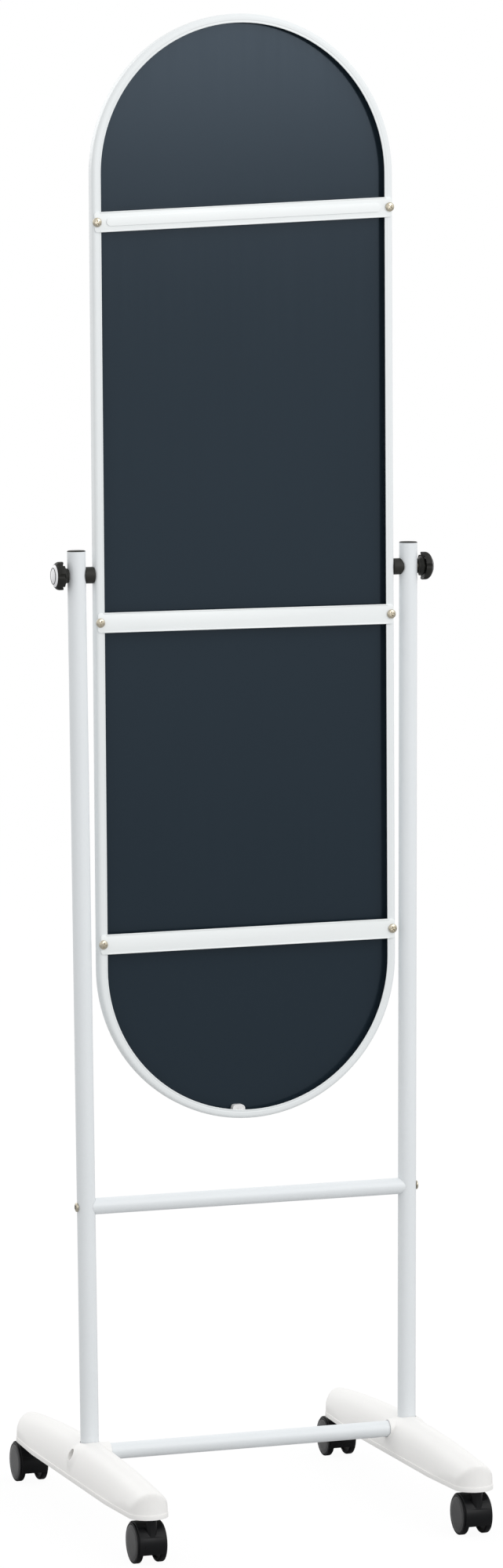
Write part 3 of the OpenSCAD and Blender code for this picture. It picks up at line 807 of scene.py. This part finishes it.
@dataclass
class Braces:
    """The three pressed cross-braces behind the glass, with their screws."""

    length: float = 0.322
    height: float = 0.0207
    sheet: float = 0.0012
    corner: float = 0.003
    edge_round: float = 0.0003
    rib_height: float = 0.009
    rib_rise: float = 0.0010
    rib_soft: float = 0.0022
    rib_end: float = 0.1485
    bead: float = 0.0007
    screw: PanScrew = PanScrew(shank=0.0019, length=0.006)
    screw_x: float = 0.1585
    skews: tuple[tuple[str, float], ...] = (("upper", 2.48), ("middle", 0.0), ("lower", 0.35))

    def build(self) -> None:
        """Presses the braces and sets their screws."""
        back = corners("mirror_frame")[1].y
        screws = []
        for word, skew in self.skews:
            seat = Vector((0, back, centre_of(f"brace_{word}").z))
            brace = lean(self._plate(seat), radians(skew), seat)
            deliver(brace, f"brace_plate_{word}", "mirror", FINISH.brace, f"brace_{word}")
            for side in Side:
                screw = self.screw.build()
                screw.rotation_euler.z = radians(27 * side.value + 11 * skew)
                head = seat + Vector((side.value * self.screw_x, self.sheet, 0))
                place(freeze(screw), head, Axis.BACK)
                screws.append(lean(screw, radians(skew), seat))
        deliver(join(*screws), "brace_fixings", "mirror", FINISH.screw, "brace_screws")

    def _plate(self, seat: Vector) -> Piece:
        """Presses one brace, level, with its rear face away from the glass.

        Args:
            seat: The middle of its front face.

        Returns:
            The brace.
        """
        centre = seat + Vector((0, self.sheet / 2, 0))
        sheet = (self.length, self.sheet, self.height)
        rib = (2 * self.rib_end, self.sheet + 2 * self.rib_rise, self.rib_height)
        bars = []
        for size, corner, corner_faces, soft, soft_faces in (
            (sheet, self.corner, 6, self.edge_round, 2),
            (rib, self.rib_height / 2, 12, self.rib_soft, 5),
        ):
            bar = block(size, centre)
            with editing(bar):
                pick(bar, Part.EDGE, lambda a, b: abs(a.y - b.y) > self.sheet / 2)
                bpy.ops.mesh.bevel(offset=corner, segments=corner_faces, clamp_overlap=True)
            bars.append(soften(bar, soft, soft_faces))
        front = seat - Vector((0, 0.0009, 0))
        carve(bars[1], block((self.length, 0.002, self.height), front))
        for sign in (-1, 1):
            at = (0, seat.y + self.sheet, seat.z + sign * (self.height / 2 - self.bead))
            bead = rod(self.bead, self.length - 4 * self.corner, at, Axis.RIGHT, 16)
            bars.append(soften(bead, self.bead * 0.6, 3, 34))
        return join(*bars)


# --- stand ---


@dataclass
class Uprights:
    """The two leaning tubes, their plugs and the saddle spacers of the pivots."""

    tube_radius: float = 0.0094
    splay: float = radians(0.338)
    plug_rise: float = 0.0013
    shank: float = 0.0081
    shank_chamfer: Pair = (0.0003, 0.0005)

    def build(self) -> None:
        """Dresses the tubes and the spacers, and makes the plugs."""
        for side in Side:
            keep(f"upright_{side.word}", FINISH.tube)
            keep(f"spacer_{side.word}", FINISH.black)
            self._plug(side)

    def _plug(self, side: Side) -> None:
        """Turns the domed plug in the top of a side's tube."""
        node = f"upright_cap_{side.word}"
        low, high = corners(node)
        r, top, shank = self.tube_radius, self.plug_rise, self.shank
        rim = high.z - top
        foot = low.z - rim
        narrow, rise = self.shank_chamfer
        plug = turned([
            (shank - narrow, foot), (shank, foot + rise), (shank, 0.0), (r, 0.0), (r, top * 0.35),
            (r - 0.0004, top * 0.7), (r - 0.0012, top * 0.88), (r * 0.6, top), (SMALL, top),
        ], 64)
        centre = centre_of(node)
        centre.z = rim
        lean(place(plug, centre), side.value * self.splay, centre)
        deliver(plug, f"tube_plug_{side.word}", "stand", FINISH.black, node)


@dataclass
class Crossbars:
    """The two bars between the uprights, with their plugs and screws."""

    screw: PanScrew = PanScrew(shank=0.0025, length=0.03)

    def build(self) -> None:
        """Dresses the bars and makes their screws."""
        for word in ("middle", "lower"):
            keep(f"crossbar_{word}", FINISH.tube)
            keep(f"crossbar_{word}_plugs", FINISH.plug)
            self._screws(word)

    def _screws(self, word: str) -> None:
        """Makes the two screws of the middle or the lower bar."""
        node = f"crossbar_{word}_screws"
        head, made = centre_of(node), []
        for side in Side:
            head.x = (corners(node)[1].x - self.screw.height) * side.value
            made.append(place(self.screw.build(), head, side.axis))
        deliver(join(*made), f"{word}_bar_fixings", "stand", FINISH.screw, node)


@dataclass
class Feet:
    """The two arched, moulded feet with the swelling that takes the upright."""

    half: float = 0.024
    end_radius: float = 0.0203
    length: float = 0.419
    flat: float = 0.250
    bottom: float = 0.048
    crown: float = 0.087
    arch: float = 1.995
    arch_reach: float = 1.03
    wall: float = 0.0022
    lip_height: float = 0.0047
    lip_proud: float = 0.0005
    lip_round: float = 0.0006
    swell: float = 0.024
    swell_z: float = 0.0638
    bar_z: float = 0.0737
    bar_hole: float = 0.0089
    collar: float = 0.0103
    collar_end: float = 0.0213
    collar_round: float = 0.0005
    recess: float = 0.0057
    recess_x: float = 0.0369
    socket: float = 0.0119
    socket_floor: float = 0.006
    tube_hole: float = 0.00965
    tube_slack: float = 0.0003
    tube_lean: float = radians(0.338)
    tube_floor: float = 0.008
    stem_y: float = 0.200
    boss: float = 0.0084
    boss_floor: float = 0.0012
    ribs: tuple[float, ...] = (-0.135, -0.070, 0.070, 0.135)
    rib: float = 0.002
    rib_gap: float = 0.003
    grid: float = 0.0022
    round_passes: int = 7

    def build(self) -> None:
        """Moulds the right foot and its mirrored copy."""
        foot_x = corners("foot_right")[1].x - self.half - self.lip_proud
        top = Vector((foot_x, centre_of("foot_right").y, self.crown))
        right = place(self._shell(), (top.x, top.y, 0))
        drill_at = (top.x + self.tube_slack, top.y, self.bottom + self.tube_floor + 0.03)
        drill = rod(self.tube_hole + self.tube_slack, 0.06, drill_at, sides=64)
        carve(right, lean(drill, self.tube_lean, top))
        for side, foot in ((Side.RIGHT, right), (Side.LEFT, copy(right, mirrored=True))):
            name = f"foot_shell_{side.word}"
            deliver(foot, name, "stand", FINISH.foot, f"foot_{side.word}")
        keep("caster_sockets", FINISH.steel)

    def _plan(self, proud: float, low: float, high: float) -> Piece:
        """Cuts the foot's plan as an upright block, widest along its middle, with round ends.

        Args:
            proud: How far it is grown all round.
            low: The height of its underside.
            high: The height of its top.

        Returns:
            The block, about the foot's own middle.
        """
        end_y = self.length / 2 - self.end_radius
        rise, middle_z = high - low, (high + low) / 2
        half, radius = self.half + proud, self.end_radius + proud
        plan = block((2 * half, self.flat, rise), (0, 0, middle_z))
        for sign in (-1, 1):
            with editing(plan):
                pick(plan, Part.FACE, lambda c, n: n.y * sign > 0.9)
                extrude(0, sign * (end_y - self.flat / 2), 0)
                end = (0, sign * end_y, 0)
                bpy.ops.transform.resize(value=(radius / half, 1, 1), center_override=end)
            carve(plan, rod(radius, rise, (0, sign * end_y, middle_z), sides=96), way=Way.ADD)
        return plan

    def _outline(self, inset: float) -> Piece:
        """Spins the half-oval section along the foot's arch and cuts it to the foot's plan.

        Args:
            inset: How much smaller it is all round.

        Returns:
            The solid form, longer than the foot's body to below.
        """
        bar = start("circle", vertices=64, radius=1, rotation=(pi / 2, 0, 0), fill_type="NGON")
        bar.scale = (self.half - inset, self.crown - self.bottom - inset, 1)
        bar.location = (0, 0, self.bottom)
        freeze(bar)
        sweep = self.arch_reach * self.length / self.arch
        centre = (0, 0, self.crown - self.arch)
        below = (0, 0, self.bottom - 0.001)
        with editing(bar, selected=True):
            bpy.ops.mesh.bisect(plane_co=below, plane_no=(0, 0, 1), clear_inner=True)
            bpy.ops.mesh.select_all(action="SELECT")
            bpy.ops.transform.rotate(value=-sweep / 2, orient_axis="X", center_override=centre)
            bpy.ops.mesh.spin(steps=48, angle=sweep, center=centre, axis=(1, 0, 0))
            close_up()
        plan = self._plan(-inset, self.bottom - 0.02, self.crown + 0.01)
        return carve(bar, plan, way=Way.KEEP)

    def _body(self) -> Piece:
        """Makes the foot's solid outside with its swelling, softened where the forms meet.

        Returns:
            The body, cut level just above the lip's underside.
        """
        body = self._outline(0.0)
        at = (0, 0, self.swell_z)
        swelling = start("uv_sphere", segments=64, ring_count=40, radius=self.swell, location=at)
        carve(body, swelling, way=Way.ADD)
        modify(body, "REMESH", mode="VOXEL", voxel_size=self.grid)
        modify(body, "SMOOTH", factor=0.5, iterations=self.round_passes)
        return carve(body, block((0.1, 0.5, 0.04), (0, 0, self.bottom + 0.0003 - 0.02)))

    def _cavity(self) -> Piece:
        """Makes the room inside the foot, less the ribs, the socket and the bosses.

        Returns:
            The cutter.
        """
        room = self._outline(self.wall)
        rib_z = self.bottom + self.lip_height + self.rib_gap + 0.03
        kept = [block((0.06, self.rib, 0.06), (0, y, rib_z)) for y in self.ribs]
        socket_z = self.bottom + self.socket_floor + 0.025
        kept.append(rod(self.socket, 0.05, (0, 0, socket_z), sides=64))
        boss_z = self.bottom + self.boss_floor + 0.02
        kept += [rod(self.boss, 0.04, (0, sign * self.stem_y, boss_z)) for sign in (-1, 1)]
        return carve(room, *kept)

    def _shell(self) -> Piece:
        """Hollows the body and adds its lip and its collar.

        Returns:
            The foot about its own middle, still without the tube's bore.
        """
        foot = carve(self._body(), self._cavity())
        lip_top = self.bottom + self.lip_height
        lip = soften(self._plan(self.lip_proud, self.bottom, lip_top), self.lip_round)
        carve(lip, self._plan(0.0002 - self.wall, self.bottom - 0.01, lip_top + 0.01))
        collar_at = (-self.collar_end / 2, 0, self.bar_z)
        collar = rod(self.collar, self.collar_end, collar_at, Axis.RIGHT, 64)
        carve(foot, lip, soften(collar, self.collar_round), way=Way.ADD)
        bar = rod(self.bar_hole, 0.05, (-0.025, 0, self.bar_z), Axis.RIGHT, 64)
        return carve(foot, bar, rod(self.recess, 0.05, (self.recess_x, 0, self.bar_z), Axis.RIGHT))


# --- knobs ---


@dataclass
class Knob:
    """A lobed clamping knob on the end of a pivot stud; its face is coloured pale as a painted
    reflection.
    """

    side: Side
    bore: float = 0.0046
    hub: float = 0.0075
    collar: float = 0.01025
    head: float = 0.0145
    height: float = 0.0166
    rim_back: float = 0.0056
    dome_base: float = 0.009
    face_base: float = 0.01259
    face: float = 0.0119
    groove: float = 0.0082
    groove_half: float = 0.00035
    groove_depth: float = 0.0005
    ring_half: float = 0.00034
    ring_depth: float = 0.00045
    ring_rise: float = 0.00005
    lobes: int = 6
    scallop: float = 0.0034
    scallop_reach: float = 0.0158
    lobe_round: float = 0.0005

    def build(self) -> None:
        """Makes the head, its face and the ring, and dresses the insert."""
        word = self.side.word
        low, high = corners(f"knob_{word}")
        pivot = joint_place("mirror_tilt")
        seat = Vector(((low if self.side is Side.RIGHT else high).x, pivot.y, pivot.z))
        for part, piece, finish, nodes in (
            ("head", self._head(), FINISH.knob, [f"knob_{word}"]),
            # The face's pale finish is a painted reflection.
            ("face", self._face(), FINISH.face, [f"knob_cap_{word}"]),
            ("ring", self._ring(), FINISH.knob, []),
        ):
            place(piece, seat, self.side.axis)
            deliver(piece, f"knob_{part}_{word}", f"knob_{word}", finish, *nodes)
        keep(f"knob_insert_{word}", FINISH.brass)

    def _dome(self, radius: float) -> float:
        """The height of the half-elliptic dome at a distance from the axis."""
        rise = self.height - self.dome_base
        return self.dome_base + rise * sqrt(max(0.0, 1 - (radius / self.head) ** 2))

    def _head(self) -> Piece:
        """Turns the black head, hollows its back and cuts the lobes.

        Returns:
            The head, with its back at the origin.
        """
        rim, seat = self.head, self.face + 0.0002
        head = turned([
            (self.bore, 0.0), (self.hub, 0.0), (self.hub, 0.0016), (self.collar, 0.0041),
            (self.collar, 0.0048), (0.0079, 0.0080), (0.0086, 0.0085),
            (rim - 0.0009, self.rim_back), (rim, self.rim_back), (rim, self.dome_base),
            *oval((0, self.dome_base), (rim, self.height - self.dome_base), (10, 20, 30, 38)),
            (seat, self._dome(seat)), (seat - 0.0001, self.face_base), (self.bore, self.face_base),
        ], 96, tube=True)
        for i in range(self.lobes):
            turn = 2 * pi * (i + 0.5) / self.lobes
            at = (self.scallop_reach * cos(turn), self.scallop_reach * sin(turn), 0)
            carve(head, rod(self.scallop, 0.04, at, sides=32))
        return soften(head, self.lobe_round, 3, 30)

    def _domed(self, radii: Sequence[float]) -> Profile:
        """Points of a profile on the dome."""
        return [(r, self._dome(r)) for r in radii]

    def _face(self) -> Piece:
        """Turns the face with its fine groove, coloured pale as a painted reflection.

        Returns:
            The face, with the knob's back at the origin.
        """
        edge, base = 0.0002, self.face_base + 0.00005
        inner, outer = self.groove - self.groove_half, self.groove + self.groove_half
        floor = self._dome(self.groove) - self.groove_depth
        return turned([
            (SMALL, base), (self.face - edge, base), (self.face, base + edge),
            (self.face, self._dome(self.face) - 0.0001),
            *self._domed((0.0112, 0.0104, 0.0096, 0.0090, outer)), (outer, floor), (inner, floor),
            *self._domed((inner, 0.0070, 0.0055, 0.0040, 0.0025, 0.0010, SMALL)),
        ])

    def _ring(self) -> Piece:
        """Turns the dark ring that lies in the groove and stands a little proud of the face.

        Returns:
            The ring, with the knob's back at the origin.
        """
        middle, half, dome = self.groove, self.ring_half, self._dome(self.groove)
        low = dome - self.ring_depth
        crown = arc((middle, dome + self.ring_rise), half, 0, 180, 8)
        return turned([(middle - half, low), (middle + half, low), *crown], tube=True)


# --- casters ---


@dataclass
class Casters:
    """The four twin-wheel casters: made once, then copied to every corner."""

    wheel: float = 0.0208
    tread_width: float = 0.0066
    tread_round: float = 0.0016
    tread_edge: float = 0.00105
    wheel_width: float = 0.0072
    wheel_rim: float = 0.0178
    wheel_hub: float = 0.0065
    wheel_recess: float = 0.002
    wheel_web: float = 0.004
    web_end: float = 0.0172
    inner_face: float = 0.009
    trail: float = 0.015
    hood: float = 0.0224
    hood_bore: float = 0.02115
    hood_half: float = 0.014
    hood_edge: float = 0.0007
    hood_round: float = 0.00025
    web_half: float = 0.0087
    edge_z: float = 0.0116
    back_edge_z: float = 0.028
    cut_reach: float = 0.06
    barrel: float = 0.013
    pillar: float = 0.0058
    pillar_foot: float = 0.026
    pillar_top: float = 0.0475
    stem_bore: float = 0.00405
    stem_floor: float = 0.02385
    axle_bore: float = 0.00255
    cap: float = 0.0187
    cap_thick: float = 0.0013
    cap_dome: float = 0.0005
    cap_round: float = 0.0006
    cap_step: float = 0.0165
    corners: tuple[str, ...] = ("front_left", "front_right", "rear_left", "rear_right")

    def build(self) -> None:
        """Makes a caster's pieces once and copies them to every corner."""
        hood, wheel, cap = self._hood(), self._wheel(), self._cap()
        for corner in self.corners:
            stand = joint_place(f"caster_{corner}_swivel") * Vector((1, 1, 0))
            name, node = f"caster_hood_{corner}", f"hood_{corner}"
            deliver(copy(hood, stand), name, f"caster_{corner}", FINISH.hood, node)
            keep(f"axle_{corner}", FINISH.steel)
            keep(f"stem_{corner}", FINISH.steel)
            for face in ("outer", "inner"):
                body, lid = f"wheel_{corner}_{face}", f"wheel_cap_{corner}_{face}"
                mirrored = corner.endswith("left") == (face == "outer")
                for made, node, finish in (
                    (wheel, body, FINISH.wheel), (cap, lid, FINISH.wheel_cap),
                ):
                    deliver(copy(made, stand, mirrored), f"caster_{node}", body, finish, node)
        discard(hood, wheel, cap)

    def _across(self, radius: float, half: float, sides: int = 144) -> Piece:
        """Adds a cylinder along the axle, to both sides of the caster's middle."""
        return rod(radius, 2 * half, (0, -self.trail, self.wheel), Axis.RIGHT, sides)

    def _hood(self) -> Piece:
        """Makes the hood: a rounded drum over both wheels, its middle web, barrel and pillar.

        Its lower edge is low on the stem's side and high on the trailing side.

        Returns:
            The hood, with its turning axis at the origin.
        """
        edge, half, reach = self.hood_edge, self.hood_half, self.cut_reach
        rim = self.hood - edge
        profile = [
            (self.hood_bore, -half), (rim, -half), *arc((rim, edge - half), edge, -75, 0, 4),
            *arc((rim, half - edge), edge, 0, 75, 4), (rim, half), (self.hood_bore, half),
        ]
        at = (0, -self.trail, self.wheel)
        hood = place(turned(profile, 144, tube=True), at, Axis.RIGHT)
        web = self._across((self.hood + self.hood_bore) / 2, self.web_half)
        carve(hood, web, way=Way.ADD)
        back = (0, -self.trail - reach / 2, self.back_edge_z - reach / 2)
        for at in ((0, 0, self.edge_z - reach / 2), back):
            carve(hood, block((reach, reach, reach), at))
        middle_z = (self.pillar_foot + self.pillar_top) / 2
        pillar = rod(self.pillar, self.pillar_top - self.pillar_foot, (0, 0, middle_z), sides=64)
        carve(hood, self._across(self.barrel, self.web_half, 96), pillar, way=Way.ADD)
        stem = rod(self.stem_bore, 0.04, (0, 0, self.stem_floor + 0.02))
        carve(hood, stem, self._across(self.axle_bore, 0.03, 48))
        return soften(hood, self.hood_round, 2, 40)

    def _wheel(self) -> Piece:
        """Turns a wheel with a rounded tread, its webbed inside and the seat of its cap.

        Returns:
            The right-hand wheel, with the caster's turning axis at the origin.
        """
        bead, edge, width = self.tread_round, self.tread_edge, self.tread_width
        hub, rim, recess = self.wheel_hub, self.wheel_rim, self.wheel_recess
        bore, mouth = self.axle_bore, self.cap + 0.0001
        seat = self.wheel_width - self.cap_thick
        profile = [
            (bore, 0.0), (hub, 0.0), (hub, recess), (rim, recess), (rim, 0.0),
            *arc((self.wheel - bead, bead), bead, -90, 0, 8),
            *arc((self.wheel - edge, width - edge), edge, 0, 80, 6),
            (self.cap + 0.0003, width), (mouth, width - 0.0003), (mouth, seat),
            (self.web_end, seat), (self.web_end, self.wheel_web), (hub, self.wheel_web),
            (hub, seat - 0.001), (bore, seat - 0.001),
        ]
        at = (self.inner_face, -self.trail, self.wheel)
        return place(turned(profile, 128, tube=True), at, Axis.RIGHT)

    def _cap(self) -> Piece:
        """Turns the domed cap, with a fine step near its rounded edge.

        Returns:
            The right-hand cap, with the caster's turning axis at the origin.
        """
        top, edge, step = self.cap_thick, self.cap_round, self.cap_step
        profile = [
            (SMALL, 0.0), (self.cap, 0.0),
            *arc((self.cap - edge, top - self.cap_dome - edge + 0.0003), edge, 0, 78, 6),
            (step + 0.0003, top - 0.00032), (step, top - 0.00022), (step - 0.0003, top - 0.00012),
            (0.013, top - 0.00005), (0.008, top - 0.00002), (SMALL, top),
        ]
        at = (self.inner_face + self.wheel_width - top, -self.trail, self.wheel)
        return place(turned(profile, 128), at, Axis.RIGHT)


# --- studio ---


@dataclass
class Studio:
    """The pale floor, the soft light and the camera of the photograph."""

    distance: float = 5.909402
    azimuth: float = radians(19.37)
    elevation: float = radians(5.781)
    roll: float = radians(-0.367)
    target: Point = (-0.006626, 0.0, 0.762937)
    lens: float = 131.18
    sensor: float = 36.0
    ambient: float = 0.90
    floor_size: float = 14.0
    floor_grey: float = 0.5
    floor_white: float = 0.9
    floor_glow: float = 1.06
    aim: Point = (0, 0, 0.7)
    lamps: tuple[tuple[str, Point, float, float], ...] = (
        ("key", (-2.4, 3.2, 3.4), 2.6, 40.0),
        ("fill", (-1.5, 5.0, 2.3), 1.6, 30.0),
        ("front", (1.6, -3.4, 2.8), 2.6, 30.0),
    )

    def build(self) -> None:
        """Sets up the colour handling, world, floor, lamps and camera."""
        bpy.context.scene.view_settings.view_transform = "Standard"
        self._world()
        self._floor()
        for lamp in self.lamps:
            self._lamp(*lamp)
        self._camera()

    def _world(self) -> None:
        """Makes the world white to the eye and in reflections, and plain light on surfaces."""
        world = bpy.data.worlds.new("studio")
        bpy.context.scene.world = world
        table = NodeTable(world)
        camera, glossy, through = (
            table.node("ShaderNodeLightPath", out=f"Is {ray} Ray")
            for ray in ("Camera", "Glossy", "Transmission")
        )
        rays = {0: camera + glossy, 1: through}
        seen = table.node("ShaderNodeMath", rays, operation="ADD", use_clamp=True)
        strength = self.ambient + seen * (1.0 - self.ambient)
        light = table.node("ShaderNodeBackground", {"Color": WHITE, "Strength": strength})
        table.node("ShaderNodeOutputWorld", {"Surface": light})

    def _floor(self) -> None:
        """Lays the floor: white to the camera, but for a trace of the mirror's shadow."""
        floor = start("plane", size=self.floor_size)
        floor.name = "studio_floor"
        made = bpy.data.materials.new("studio_floor")
        table = NodeTable(made)
        grey = (self.floor_grey, self.floor_grey, self.floor_grey, 1.0)
        glow = {"Color": WHITE, "Strength": self.floor_glow}
        mixed = table.node("ShaderNodeMixShader", {
            0: table.node("ShaderNodeLightPath", out="Is Camera Ray") * self.floor_white,
            1: table.node("ShaderNodeBsdfDiffuse", {"Color": grey}),
            2: table.node("ShaderNodeEmission", glow),
        })
        table.node("ShaderNodeOutputMaterial", {"Surface": mixed})
        floor.data.materials.append(made)

    def _lamp(self, name: str, at: Point, size: float, power: float) -> None:
        """Hangs a soft square lamp that looks at the mirror.

        Args:
            name: The lamp's name.
            at: Its place.
            size: Its side.
            power: Its power in watts.
        """
        data = bpy.data.lights.new(name, "AREA")
        data.size = size
        data.energy = power
        lamp = bpy.data.objects.new(name, data)
        lamp.location = at
        lamp.rotation_euler = (Vector(self.aim) - Vector(at)).to_track_quat("-Z", "Y").to_euler()
        bpy.context.scene.collection.objects.link(lamp)

    def _camera(self) -> None:
        """Places the camera as it stood for the photograph."""
        look_at = Vector(self.target) + Vector((0, joint_place("mirror_tilt").y, 0))
        flat = cos(self.elevation)
        away = Vector((sin(self.azimuth) * flat, cos(self.azimuth) * flat, sin(self.elevation)))
        turn = away.to_track_quat("Z", "Y").to_matrix() @ Matrix.Rotation(self.roll, 3, "Z")
        data = bpy.data.cameras.new("camera")
        data.lens = self.lens
        data.sensor_width = self.sensor
        camera = bpy.data.objects.new("camera", data)
        camera.matrix_world = Matrix.Translation(look_at + away * self.distance) @ turn.to_4x4()
        bpy.context.scene.collection.objects.link(camera)
        bpy.context.scene.camera = camera


def main() -> None:
    """Builds the mirror and its studio, in order."""
    logging.basicConfig(level=logging.INFO, format="%(message)s")
    knobs = [Knob(side) for side in Side]
    stand = [Uprights(), Crossbars(), Feet()]
    for assembly in (Studio(), MirrorPanel(), Braces(), *stand, *knobs, Casters()):
        assembly.build()


if __name__ == "__main__":
    main()
